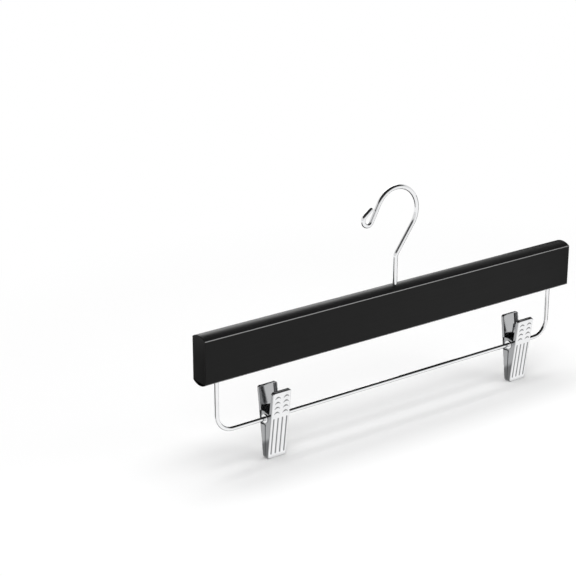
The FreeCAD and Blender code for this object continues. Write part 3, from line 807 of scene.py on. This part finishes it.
@dataclass
class WoodenBar:
    """Straight bar with domed top and underside, drilled for the hook and the rail. Sizes in mm."""

    length: float = 355.0
    thickness: float = 16.0
    flat_height: float = 32.6
    dome_rise: float = 2.5
    dome_steps: int = 48
    edge_round: float = 0.45
    edge_segments: int = 4
    edge_angle: float = 20.0
    shade_angle: float = 25.0
    hook_hole_radius: float = 1.85
    counterbore_radius: float = 4.7
    counterbore_depth: float = 12.0
    socket_radius: float = 1.7
    socket_depth: float = 16.0
    socket_place: float = 163.2
    hole_margin: float = 14.1
    crest: float = field(default_factory=lambda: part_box("wooden_bar")[1].z / MM)

    @property
    def dome_radius(self) -> float:
        """Radius of the arc through both creases and the crest."""
        return ((self.thickness / 2) ** 2 + self.dome_rise ** 2) / (2 * self.dome_rise)

    @property
    def underside(self) -> float:
        """Level of the lowest line of the bar."""
        return self.crest - self.flat_height - 2 * self.dome_rise

    def spin_dome(self, bar: bpy.types.Object, level: float, up: float) -> None:
        """Replaces a flat top or underside by an arc spun from one crease to the other.

        Args:
            bar: The bar in edit mode.
            level: Height of the creases.
            up: 1 for the top, -1 for the underside.
        """
        half = self.thickness / 2
        crease = Vector((0, -half, level))
        pick(bar, Part.FACE, lambda face: face.normal.z * up > FACING)
        bpy.ops.mesh.delete(type="ONLY_FACE")
        pick(bar, Part.EDGE, lambda edge: all((v.co - crease).yz.length < WELD for v in edge.verts))
        sweep = 2 * math.asin(half / self.dome_radius)
        centre = Vector((0, 0, level + up * (self.dome_rise - self.dome_radius)))
        bpy.ops.mesh.spin(steps=self.dome_steps, angle=sweep * up, center=centre, axis=X)

    def build(self) -> bpy.types.Object:
        """Models the bar.

        Returns:
            The bar in millimetres.
        """
        half = Vector((self.length, self.thickness, self.flat_height)) / 2
        middle = Vector((0, 0, (self.crest + self.underside) / 2))
        bar = add_box("lacquered_bar", middle - half, middle + half)
        with editing(bar):
            self.spin_dome(bar, middle.z + half.z, 1.0)
            self.spin_dome(bar, middle.z - half.z, -1.0)
            bpy.ops.mesh.select_all(action="SELECT")
            bpy.ops.mesh.remove_doubles(threshold=WELD)
            bpy.ops.mesh.fill_holes(sides=0)
            bpy.ops.mesh.dissolve_limited(angle_limit=FLAT_ANGLE)
            bpy.ops.mesh.normals_make_consistent(inside=False)
            bpy.ops.mesh.select_all(action="DESELECT")
            bpy.ops.mesh.select_mode(type="EDGE")
            bpy.ops.mesh.edges_select_sharp(sharpness=math.radians(self.edge_angle))
            round_edges(self.edge_round, self.edge_segments)
        self.drill(bar)
        smooth(bar, self.shade_angle)
        apply_modifier(bar, "WEIGHTED_NORMAL", keep_sharp=True)
        return bar

    def drill(self, bar: bpy.types.Object) -> None:
        """Drills the hook's hole with its counterbore, and the sockets of the rail.

        The long faces are cut across beside each hole first, so that their shading stays even.

        Args:
            bar: The solid bar.
        """
        holes = [
            (0.0, self.hook_hole_radius, self.crest + BEYOND),
            (0.0, self.counterbore_radius, self.underside + self.counterbore_depth),
            (-self.socket_place, self.socket_radius, self.underside + self.socket_depth),
            (self.socket_place, self.socket_radius, self.underside + self.socket_depth),
        ]
        with editing(bar):
            for place, _, _ in holes[1:]:
                for cut in (place - self.hole_margin, place + self.hole_margin):
                    bpy.ops.mesh.select_all(action="SELECT")
                    if abs(cut) < self.length / 2 - BEYOND:
                        bpy.ops.mesh.bisect(plane_co=(cut, 0, 0), plane_no=X)
        below = self.underside - BEYOND
        for place, radius, top in holes:
            carve(bar, add_rod(Vector((place, 0, below)), Vector((place, 0, top)), radius), Carve.CUT)

    def seat(self) -> None:
        """Models, dresses and places the bar."""
        hand_over(self.build(), MODEL_TO_METRES, LACQUER, "wooden_bar", "bar")


@dataclass
class SwivelHook:
    """Hook bent from one wire, with a riveted head and a washer under the wood. Sizes in mm."""

    wire: float = 3.5
    bend_radius: float = 6.0
    bow_radius: float = 19.5
    crank_drop: float = 35.25
    run_length: float = 14.0
    run_angle: float = 242.0
    curl_radius: float = 4.2
    return_length: float = 8.4
    return_angle: float = 37.0
    tip_round: float = 1.2
    head_radius: float = 3.4
    head_height: float = 2.4
    head_round: float = 0.6
    washer_radius: float = 4.3
    washer_hole: float = 1.85
    washer_edge: float = 0.15
    foot: float = field(default_factory=lambda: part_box("hook")[0].z / MM)

    def build(self) -> bpy.types.Object:
        """Bends the hook, from its head under the washer to its curled tip.

        Returns:
            The hook in millimetres.
        """
        radius = self.wire / 2
        bow_level = radius - self.bow_radius
        bend_level = bow_level - self.crank_drop
        reach = math.hypot(self.bend_radius, self.crank_drop)
        lean = math.degrees(
            math.atan2(self.crank_drop, -self.bend_radius)
            - math.asin((self.bend_radius + self.bow_radius) / reach)
        )
        crank = math.sqrt(reach ** 2 - (self.bend_radius + self.bow_radius) ** 2)
        wire = RoundForm("swivel_hook", self.head_radius - self.head_round, Z * self.foot, Z)
        wire.shoulder(self.head_round, growing=True)
        wire.advance(self.foot + self.head_height - wire.at.z)
        wire.advance(0.0, radius)
        wire.advance(bend_level - wire.at.z)
        wire.bend(self.bend_radius, 90 - lean, Y)
        wire.advance(crank)
        wire.bend(self.bow_radius, self.run_angle - lean, -Y)
        wire.advance(self.run_length)
        wire.bend(self.curl_radius, self.run_angle - self.return_angle, Y)
        wire.advance(self.return_length - self.tip_round)
        wire.shoulder(self.tip_round)
        return wire.finish()

    def build_washer(self) -> bpy.types.Object:
        """Turns the flat washer between the head and the wood.

        Returns:
            The washer in millimetres.
        """
        low, high = (corner.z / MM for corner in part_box("hook_washer"))
        edge = self.washer_edge
        ring = RoundForm("hook_washer_ring", self.washer_hole, Z * low, Z, TURNED_SIDES)
        ring.advance(0.0, self.washer_radius - edge)
        ring.advance(edge, self.washer_radius)
        ring.advance(high - low - 2 * edge)
        ring.advance(edge, self.washer_radius - edge)
        ring.advance(0.0, self.washer_hole)
        ring.advance(low - high)
        return ring.finish()

    def seat(self) -> None:
        """Models, dresses and places the hook and its washer."""
        hand_over(self.build(), MODEL_TO_METRES, CHROME_WIRE, "hook", "hook")
        hand_over(self.build_washer(), MODEL_TO_METRES, ZINC, "hook_washer", "bar")


@dataclass
class WireRail:
    """Wide U of wire whose legs stand in the bar. Sizes in mm."""

    wire: float = 3.3
    leg_place: float = 163.2
    bend_radius: float = 13.5
    end_round: float = 0.5

    def build(self) -> bpy.types.Object:
        """Bends the rail from the top of one leg to the top of the other.

        Returns:
            The rail in millimetres.
        """
        low, top = (corner.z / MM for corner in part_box("wire_rail"))
        leg = top - low - self.wire / 2 - self.bend_radius
        wire = RoundForm("clip_rail", self.wire / 2, Vector((-self.leg_place, 0, top)), -Z)
        wire.advance(leg)
        wire.bend(self.bend_radius, 90.0, -Y)
        wire.advance(2 * (self.leg_place - self.bend_radius))
        wire.bend(self.bend_radius, 90.0, -Y)
        wire.advance(leg - self.end_round)
        wire.shoulder(self.end_round)
        return wire.finish()

    def seat(self) -> None:
        """Models, dresses and places the rail."""
        hand_over(self.build(), MODEL_TO_METRES, CHROME_WIRE, "wire_rail", "bar")


@dataclass
class StampedJaw:
    """Half of a clip, drawn from sheet as a shallow tray with an outer and an inset ear.

    Sizes in mm, measured from the pivot, with the outer face to the front.
    """

    width: float = 16.5
    sheet: float = 0.8
    offset: float = 7.5
    finger: float = 23.8
    grip: float = 31.3
    finger_flange: float = 3.0
    tip_flange: float = 3.2
    root_flange: float = 6.2
    tip_gap: float = 0.3
    ear_radius: float = 4.8
    ear_steps: int = 32
    ear_clearance: float = 0.15
    ear_relief: float = 0.5
    notch: float = 2.2
    corner_round: float = 1.8
    corner_segments: int = 8
    edge_round: float = 1.0
    edge_segments: int = 6
    eye_radius: float = 2.68
    edge_break: float = 0.12
    break_segments: int = 2
    break_angle: float = 50.0
    shade_angle: float = 40.0
    grooves: int = 4
    groove_width: float = 1.0
    groove_mouth: float = 2.0
    groove_pitch: float = 3.86
    groove_top: float = 2.3
    groove_tip_margin: float = 3.8
    dash_rows: int = 4
    dash_width: float = 5.0
    dash_rise: float = 1.5
    dash_middle: float = 0.75
    dash_column: float = 3.8
    dash_pitch: float = 4.15
    dash_top_margin: float = 5.2
    dash_shoulder: float = 0.5
    # Painted shade over the dashes and on the flanges
    dash_shade: float = 0.85
    dash_dull: float = 0.8
    dash_fade: float = 0.25
    flange_dull: float = 0.7
    press_depth: float = 0.35
    panel_margin: float = 0.3
    panel_strips: int = 4
    panel_cuts: int = 84

    @property
    def lean(self) -> float:
        """Angle, in radians, by which a closed jaw leans about the pivot."""
        drop = self.offset - self.tip_flange
        return math.atan2(drop, self.grip) - math.asin(self.tip_gap / 2 / math.hypot(drop, self.grip))

    @property
    def flange_slope(self) -> float:
        """Depth that the flanges of the grip gain for each millimetre towards the ears."""
        return (self.root_flange - self.tip_flange) / (self.grip - self.ear_radius - self.notch)

    def blank(self) -> bpy.types.Object:
        """Draws the tray: a box with rounded outer edges, open to the rear, with sheet walls.

        Returns:
            The tray, its walls still deep all round.
        """
        deep = self.ear_radius + self.sheet
        low = Vector((-self.width / 2, -self.offset, -self.grip))
        high = Vector((self.width / 2, deep, self.finger))
        tray = add_box("stamped_jaw", low, high)
        with editing(tray):
            pick(tray, Part.FACE, lambda face: face.normal.y > FACING)
            bpy.ops.mesh.delete(type="FACE")
            pick(tray, Part.EDGE, lambda edge: abs(edge.verts[0].co.y - edge.verts[1].co.y) > WELD)
            round_edges(self.corner_round, self.corner_segments)
            pick(tray, Part.EDGE, lambda edge: all(abs(v.co.y + self.offset) < WELD for v in edge.verts))
            round_edges(self.edge_round, self.edge_segments)
        apply_modifier(
            tray,
            "SOLIDIFY",
            thickness=self.sheet,
            offset=-1.0,
            use_even_offset=True,
            use_quality_normals=True,
        )
        return tray

    def ear_arc(self) -> Outline:
        """Points on the half circle of an ear, from its lower end to its upper end."""
        angles = [math.pi * (step / self.ear_steps - 0.5) for step in range(self.ear_steps + 1)]
        return [(self.ear_radius * math.cos(angle), self.ear_radius * math.sin(angle)) for angle in angles]

    def trim_outline(self) -> Outline:
        """Side view of what is trimmed off behind the flanges and round the ear.

        Returns:
            Corners as depth and height.
        """
        ear = self.ear_radius
        back = ear + self.sheet + BEYOND
        finger_edge = self.finger_flange - self.offset
        tip_edge = self.tip_flange - self.offset
        root_edge = self.root_flange - self.offset
        return [
            (back, self.finger + BEYOND),
            (finger_edge, self.finger + BEYOND),
            (finger_edge, ear),
            *reversed(self.ear_arc()),
            (root_edge, -ear),
            (root_edge, -ear - self.notch),
            (tip_edge - self.flange_slope * BEYOND, -self.grip - BEYOND),
            (back, -self.grip - BEYOND),
        ]

    def inset_ear(self) -> bpy.types.Object:
        """Draws the ear that stands inside the other jaw's outer ear.

        Returns:
            The ear as a plate.
        """
        root = self.sheet / 2 - self.offset
        outer = self.width / 2 - self.sheet - self.ear_clearance
        outline = [(root, -self.ear_radius), *self.ear_arc(), (root, self.ear_radius)]
        return add_prism("inset_ear", outline, outer - self.sheet, outer)

    def groove_share(self, x: float, z: float) -> float:
        """Share of the full depth to which a groove is pressed at a point of the outer face.

        Args:
            x: Place across the jaw.
            z: Place along the jaw.

        Returns:
            0 where the face is flat, 1 along the middle of a groove.
        """
        half = self.groove_width / 2
        low = self.groove_tip_margin + half - self.grip
        high = self.groove_top - half
        middle = (self.grooves - 1) / 2
        nearest = min(max(round(x / self.groove_pitch + middle), 0), self.grooves - 1)
        centre = (nearest - middle) * self.groove_pitch
        return ease(math.hypot(x - centre, z - min(max(z, low), high)) / (self.groove_mouth / 2))

    def dash_bow(self, x: float) -> float:
        """Share of its full rise that a dash has at a place across the jaw, 0 beside it."""
        return max(1 - ((abs(x) - self.dash_column) / (self.dash_width / 2)) ** 2, 0.0)

    def dash_crests(self, x: float) -> list[float]:
        """Levels of the upper edges of the dashes at a place across the jaw."""
        top = self.finger - self.dash_top_margin + self.dash_rise * self.dash_bow(x)
        return [top - row * self.dash_pitch for row in range(self.dash_rows)]

    def dash_share(self, x: float, z: float) -> float:
        """Share of the full height to which a dash stands out at a point of the outer face.

        Args:
            x: Place across the jaw.
            z: Place along the jaw.

        Returns:
            0 where the face is flat, 1 along the crest of a dash.
        """
        bow = self.dash_bow(x)
        thick = self.dash_middle * bow / 2
        off = min(abs(z - crest + thick) - thick for crest in self.dash_crests(x))
        return math.sqrt(bow) * ease(max(off, 0.0) / self.dash_shoulder)

    def dull_share(self, x: float, z: float) -> float:
        """Share of painted shade at a point of the outer face: in the grooves and over the dashes.

        Args:
            x: Place across the jaw.
            z: Place along the jaw.

        Returns:
            0 where the face is left bright, 1 where it is painted grey as shade.
        """
        off = min(abs(z - crest) for crest in self.dash_crests(x)) / self.dash_shade
        over_dash = self.dash_dull * self.dash_bow(x) ** self.dash_fade * ease(off)
        return max(self.groove_share(x, z), over_dash)

    @property
    def panel(self) -> tuple[float, float, float]:
        """The part of the outer face that takes the pressing.

        Returns:
            Its half width, lowest and highest level.
        """
        side = self.edge_round + self.panel_margin
        end = self.corner_round + self.panel_margin
        return self.width / 2 - side, end - self.grip, self.finger - end

    def pick_front(self, jaw: bpy.types.Object, panel_only: bool) -> None:
        """Selects the flat outer face.

        Args:
            jaw: The jaw in edit mode.
            panel_only: True to leave out the margin round the panel.
        """
        pick(jaw, Part.FACE, lambda face: all(abs(v.co.y + self.offset) < WELD for v in face.verts))
        if panel_only:
            half, low, high = self.panel
            edit_mesh = bmesh.from_edit_mesh(jaw.data)
            for face in edit_mesh.faces:
                middle = face.calc_center_median()
                if abs(middle.x) >= half or not low < middle.z < high:
                    face.select_set(False)
            bmesh.update_edit_mesh(jaw.data)

    def press(self, jaw: bpy.types.Object) -> None:
        """Presses the grooves into the outer face and the dashes out of it.

        Args:
            jaw: The trimmed jaw.
        """
        half, low, high = self.panel
        rise = (high - low) / self.panel_strips
        cuts = [(X * side, X, False) for side in (-half, half)]
        cuts += [(Z * level, Z, False) for level in (low, high)]
        cuts += [(Z * (low + rise * strip), Z, True) for strip in range(1, self.panel_strips)]
        with editing(jaw):
            for place, normal, panel_only in cuts:
                self.pick_front(jaw, panel_only)
                bpy.ops.mesh.bisect(plane_co=place, plane_no=normal)
            self.pick_front(jaw, panel_only=True)
            bpy.ops.mesh.subdivide(number_cuts=self.panel_cuts)
        # Painted shade: grey share in the grooves, over the dashes and on the flanges, for the chrome's
        # colour
        pressed = jaw.data.attributes.new(SHADE_ATTRIBUTE, "FLOAT", "POINT")
        for vertex in jaw.data.vertices:
            turned = (vertex.co.y + self.offset) / self.edge_round
            if turned < WELD:
                shade_share = self.dull_share(vertex.co.x, vertex.co.z)
            else:
                shade_share = self.flange_dull * min(turned, 1.0)
            pressed.data[vertex.index].value = shade_share
        for share_at, depth in ((self.groove_share, self.press_depth), (self.dash_share, -self.press_depth)):
            group = jaw.vertex_groups.new(name=share_at.__name__)
            for vertex in jaw.data.vertices:
                if vertex.co.y < WELD - self.offset:
                    share = share_at(vertex.co.x, vertex.co.z)
                    if share > 0:
                        group.add([vertex.index], share, "REPLACE")
            apply_modifier(
                jaw, "DISPLACE", vertex_group=group.name, direction="Y", strength=depth, mid_level=0.0
            )
        jaw.vertex_groups.clear()

    def build(self) -> bpy.types.Object:
        """Models the jaw.

        Returns:
            The jaw in millimetres, with its pivot at the origin.
        """
        jaw = self.blank()
        half = self.width / 2
        carve(jaw, add_prism("trim", self.trim_outline(), -half - BEYOND, half + BEYOND), Carve.CUT)
        tall = self.ear_radius + self.ear_relief
        low = Vector((half - self.sheet, self.edge_round - self.offset, -tall))
        high = Vector((half + BEYOND, self.ear_radius + BEYOND, tall))
        carve(jaw, add_box("ear_gap", low, high), Carve.CUT)
        carve(jaw, self.inset_ear(), Carve.JOIN)
        carve(jaw, add_rod(-X * 2 * half, X * 2 * half, self.eye_radius), Carve.CUT)
        with editing(jaw):
            bpy.ops.mesh.select_all(action="SELECT")
            bpy.ops.mesh.remove_doubles(threshold=WELD)
            bpy.ops.mesh.dissolve_limited(angle_limit=FLAT_ANGLE)
        apply_modifier(
            jaw,
            "BEVEL",
            width=self.edge_break,
            segments=self.break_segments,
            limit_method="ANGLE",
            angle_limit=math.radians(self.break_angle),
            use_clamp_overlap=False,
        )
        self.press(jaw)
        smooth(jaw, self.shade_angle)
        apply_modifier(jaw, "WEIGHTED_NORMAL", keep_sharp=True)
        return jaw


@dataclass
class SprungClip:
    """Clip of two jaws on a hollow rivet, with a torsion spring and vinyl pads. Sizes in mm."""

    jaw: StampedJaw = field(default_factory=StampedJaw)
    sleeve_radius: float = 2.6
    sleeve_bore: float = 1.75
    flare_radius: float = 3.4
    flare: float = 0.6
    flare_round: float = 0.24
    spring_wire: float = 1.2
    spring_sides: int = 24
    spring_steps: int = 110
    spring_clearance: float = 0.4
    spring_pitch: float = 1.75
    spring_loops: int = 6
    spring_leg: float = 14.0
    spring_seat: float = 0.2
    pad_height: float = 10.0
    pad_clearance: float = 0.2
    pad_proud: float = 0.1
    pad_round: float = 0.5
    pad_segments: int = 4

    def pivot(self, side: Side) -> Vector:
        """Middle of a clip on the rail's axis, in metres."""
        low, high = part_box(f"{side.value}_pivot_sleeve")
        return (low + high) / 2

    def placement(self, side: Side, face: Face = Face.FRONT, lean: float = 0.0) -> Matrix:
        """Gives the matrix from a model piece to its packed place.

        Args:
            side: The clip.
            face: The half of the clip.
            lean: Angle, in radians, by which the piece leans about the pivot.

        Returns:
            The matrix.
        """
        turn = Matrix.Rotation(math.radians(face.value), 4, "Z")
        leaning = turn @ Matrix.Rotation(lean, 4, "X")
        return Matrix.Translation(self.pivot(side)) @ leaning @ MODEL_TO_METRES

    def build_rivet(self) -> bpy.types.Object:
        """Turns the hollow rivet, flared over the ears at both ends.

        Returns:
            The rivet in millimetres, along X.
        """
        shoulder = self.jaw.width / 2 + self.jaw.ear_clearance
        end = shoulder + self.flare
        tube = RoundForm("hollow_rivet", self.sleeve_bore, -X * end, X, TURNED_SIDES)
        tube.advance(0.0, self.flare_radius - self.flare_round)
        tube.shoulder(self.flare_round, growing=True)
        tube.advance(-shoulder - tube.at.x)
        tube.advance(0.0, self.sleeve_radius)
        tube.advance(2 * shoulder)
        tube.advance(0.0, self.flare_radius)
        tube.advance(self.flare - self.flare_round)
        tube.shoulder(self.flare_round)
        tube.advance(0.0, self.sleeve_bore)
        tube.advance(-2 * end)
        return tube.finish()

    def build_half_spring(self) -> bpy.types.Object:
        """Winds the front half of the torsion spring, from the top of its middle coil to its leg.

        Returns:
            The half spring in millimetres.
        """
        coil = self.sleeve_radius + self.spring_clearance + self.spring_wire / 2
        seat = self.jaw.offset - self.jaw.sheet - self.spring_wire / 2 - self.spring_seat
        slant = math.asin(seat / math.hypot(coil, self.spring_leg)) - math.atan2(coil, self.spring_leg)
        turned = self.jaw.lean + slant - (self.spring_loops - 0.5) * math.pi
        climb = self.spring_pitch / (2 * math.pi)

        def tangent(angle: float) -> Vector:
            """Direction in which the wire runs on at an angle round the coil."""
            return Vector((-climb, coil * math.sin(angle), -coil * math.cos(angle))).normalized()

        deselect_all()
        bpy.ops.mesh.primitive_circle_add(
            vertices=self.spring_sides,
            radius=self.spring_wire / 2,
            location=Z * coil,
            rotation=tangent(math.pi / 2).to_track_quat("Z", "Y").to_euler(),
        )
        wire = bpy.context.object
        wire.name = "spring_half"
        bpy.ops.object.transform_apply()
        apply_modifier(
            wire,
            "SCREW",
            axis="X",
            angle=turned,
            screw_offset=climb * turned,
            steps=self.spring_steps,
            render_steps=self.spring_steps,
        )
        last = math.pi / 2 + turned
        end = Vector((climb * turned, coil * math.cos(last), coil * math.sin(last)))
        near = self.spring_wire
        with editing(wire):
            pick(
                wire,
                Part.EDGE,
                lambda edge: edge.is_boundary and all((v.co - end).length < near for v in edge.verts),
            )
            leg = tangent(last) * self.spring_leg
            bpy.ops.mesh.extrude_region_move(TRANSFORM_OT_translate={"value": leg})
            bpy.ops.mesh.select_all(action="SELECT")
            bpy.ops.mesh.fill_holes(sides=0)
            bpy.ops.mesh.normals_make_consistent(inside=False)
        smooth(wire)
        return wire

    def build_pad(self) -> bpy.types.Object:
        """Moulds the wedge-shaped pad in the tip of a jaw.

        Returns:
            The pad in millimetres, in the frame of its jaw.
        """
        jaw = self.jaw
        back = jaw.sheet - jaw.offset
        low = jaw.sheet - jaw.grip
        high = low + self.pad_height
        tip_edge = jaw.tip_flange - jaw.offset + self.pad_proud
        half = jaw.width / 2 - jaw.sheet - self.pad_clearance
        outline = [
            (back, low),
            (tip_edge + jaw.flange_slope * jaw.sheet, low),
            (tip_edge + jaw.flange_slope * (high + jaw.grip), high),
            (back, high),
        ]
        pad = add_prism("vinyl_pad", outline, -half, half)
        apply_modifier(pad, "BEVEL", width=self.pad_round, segments=self.pad_segments, limit_method="ANGLE")
        smooth(pad)
        return pad

    def seat(self) -> None:
        """Models each piece once, and dresses and places its copies in both clips."""
        rivet = self.build_rivet()
        stamping = self.jaw.build()
        pad = self.build_pad()
        half_spring = self.build_half_spring()
        for side in Side:
            clip = side.value
            tube = copy_of(rivet, f"{clip}_hollow_rivet")
            hand_over(tube, self.placement(side), CHROME_SHEET, f"{clip}_pivot_sleeve", f"{clip}_slider")
            for face in Face:
                half = f"{clip}_{face.word}"
                body = f"{half}_jaw"
                closed = self.placement(side, face, self.jaw.lean)
                hand_over(copy_of(stamping, f"{half}_stamping"), closed, CHROME_SHEET, body, body)
                hand_over(copy_of(pad, f"{half}_vinyl_pad"), closed, VINYL, f"{half}_pad", body)
                wire = copy_of(half_spring, f"{clip}_spring_{face.word}_half")
                hand_over(wire, self.placement(side, face), SPRING_STEEL, f"{clip}_torsion_spring")
                self.wind_up(wire)
        for model in (rivet, stamping, pad, half_spring):
            bpy.data.objects.remove(model)

    def wind_up(self, wire: bpy.types.Object) -> None:
        """Bakes the place of half a spring into its mesh.

        Args:
            wire: The half spring in its place.
        """
        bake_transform(wire)


@dataclass(frozen=True)
class Softbox:
    """Square soft light that faces the middle of the hanger. Sizes in metres, power in watts."""

    name: str
    place: tuple[float, float, float]
    size: float
    power: float
    mirrored: bool = False

    def hang(self) -> None:
        """Hangs the light, which either lights what is matt or only shows in gloss and chrome."""
        deselect_all()
        middle = (Vector(CAD_BOX[0]) + Vector(CAD_BOX[1])) / 2
        facing = (middle - Vector(self.place)).to_track_quat("-Z", "Y").to_euler()
        bpy.ops.object.light_add(type="AREA", location=self.place, rotation=facing)
        light = bpy.context.object
        light.name = self.name
        light.data.size = self.size
        light.data.energy = self.power
        light.visible_glossy = self.mirrored
        light.visible_diffuse = not self.mirrored
        light.visible_camera = False


SOFTBOXES = (
    Softbox("left_softbox", (-1.1, -1.0, 0.75), 0.9, 4.5),
    Softbox("right_softbox", (0.95, -1.05, 0.62), 0.9, 4.5),
    Softbox("top_softbox", (0.0, 0.0, 1.5), 1.6, 26.0),
    # Lays the sheen along the dome of the bar
    Softbox("rear_softbox", (0.46, 0.92, 0.30), 0.55, 2.2, mirrored=True),
)


@dataclass
class Studio:
    """White floor, soft light, black boards and the camera. Sizes in metres, angles in degrees."""

    camera_place: tuple[float, float, float] = (-0.77942, -0.91368, 0.35461)
    camera_pitch: float = 70.17
    camera_yaw: float = -36.63
    lens: float = 105.7
    sensor: float = 36.0
    floor_size: float = 8.0
    floor_gap: float = 0.0001
    board_thickness: float = 0.002
    ceiling_edge: tuple[float, float] = (23.1, 36.9)
    ceiling_tilt: float = 8.6
    ceiling_glow: float = 0.024
    backdrop_glow: float = 0.8
    room_glow: float = 0.24

    def add_camera(self) -> None:
        """Sets the camera at the photograph's viewpoint."""
        deselect_all()
        turn = (math.radians(self.camera_pitch), 0.0, math.radians(self.camera_yaw))
        bpy.ops.object.camera_add(location=self.camera_place, rotation=turn)
        camera = bpy.context.object
        camera.data.lens = self.lens
        camera.data.sensor_width = self.sensor
        bpy.context.scene.camera = camera

    def add_floor(self) -> None:
        """Lays a matt white floor just under the tips of the clips."""
        deselect_all()
        level = CAD_BOX[0][2] - self.floor_gap
        bpy.ops.mesh.primitive_plane_add(size=self.floor_size, location=(0, 0, level))
        floor = bpy.context.object
        floor.name = "studio_floor"
        floor.data.materials.append(FLOOR.material())

    def add_board(self, name: str, low: Vector, high: Vector) -> None:
        """Sets up a black board that only gloss and chrome show, as a painted dark reflection.

        Args:
            name: Name of the board.
            low: Lowest corner.
            high: Highest corner, apart from the thickness.
        """
        board = add_box(name, low, high + Vector((1, 1, 1)) * self.board_thickness)
        board.data.materials.append(PAINTED_REFLECTION_BLACK.material())
        board.visible_camera = False
        board.visible_diffuse = False
        board.visible_transmission = False
        board.visible_shadow = False

    def add_boards(self) -> None:
        """Stands boards beside and behind the hanger, which paint dark reflections as lines along the bright
        wire.
        """
        ground = CAD_BOX[0][2]
        bar_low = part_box("wooden_bar")[0].z
        boards = {
            "right_black_board": ((0.26, -0.065, ground), (0.26, 0.16, -0.03)),
            "rear_black_board": ((-0.165, 0.012, bar_low), (0.2, 0.1, bar_low)),
            "left_leg_board": ((-0.226, 0.0, ground), (-0.226, 0.12, bar_low)),
            "right_leg_board": ((0.10, 0.045, ground), (0.10, 0.12, bar_low)),
        }
        for name, (low, high) in boards.items():
            self.add_board(name, Vector(low), Vector(high))

    def add_world(self) -> None:
        """Makes the backdrop: white for the camera, dark overhead in the chrome, even for the light."""
        world = bpy.data.worlds.new("studio")
        bpy.context.scene.world = world
        tree = empty_tree(world)
        way = add_node(tree, "TexCoord").outputs["Generated"]
        tilt = math.radians(self.ceiling_tilt)
        upwards = (0.0, -math.sin(tilt), math.cos(tilt))
        height = add_node(tree, "VectorMath", (way, upwards), operation="DOT_PRODUCT").outputs["Value"]
        edge = [math.sin(math.radians(angle)) for angle in self.ceiling_edge]
        fade = (height, *edge, self.backdrop_glow, self.ceiling_glow)
        overhead = add_node(tree, "MapRange", fade, interpolation_type="SMOOTHSTEP")
        path = add_node(tree, "LightPath").outputs
        bounced = (path["Is Glossy Ray"], path["Is Transmission Ray"])
        mirrored = add_node(tree, "Math", bounced, operation="MAXIMUM")
        pure = linear("#ffffff")
        reflected = add_node(tree, "Background", {"Color": pure, "Strength": overhead})
        even = add_node(tree, "Background", {"Color": pure, "Strength": self.room_glow})
        white = add_node(tree, "Background", {"Color": pure, "Strength": 1.0})
        other = add_node(tree, "MixShader", (mirrored, even, reflected))
        whole = add_node(tree, "MixShader", (path["Is Camera Ray"], other, white))
        add_node(tree, "OutputWorld", {"Surface": whole})

    def build(self) -> None:
        """Sets up the whole studio."""
        self.add_camera()
        self.add_floor()
        self.add_boards()
        self.add_world()
        for softbox in SOFTBOXES:
            softbox.hang()
        bpy.context.scene.view_settings.view_transform = "Standard"


def main() -> None:
    """Builds the sub-assemblies in order, then the studio round them."""
    logging.basicConfig(level=logging.INFO, format="%(name)s: %(message)s")
    WoodenBar().seat()
    SwivelHook().seat()
    WireRail().seat()
    SprungClip().seat()
    Studio().build()


if __name__ == "__main__":
    main()
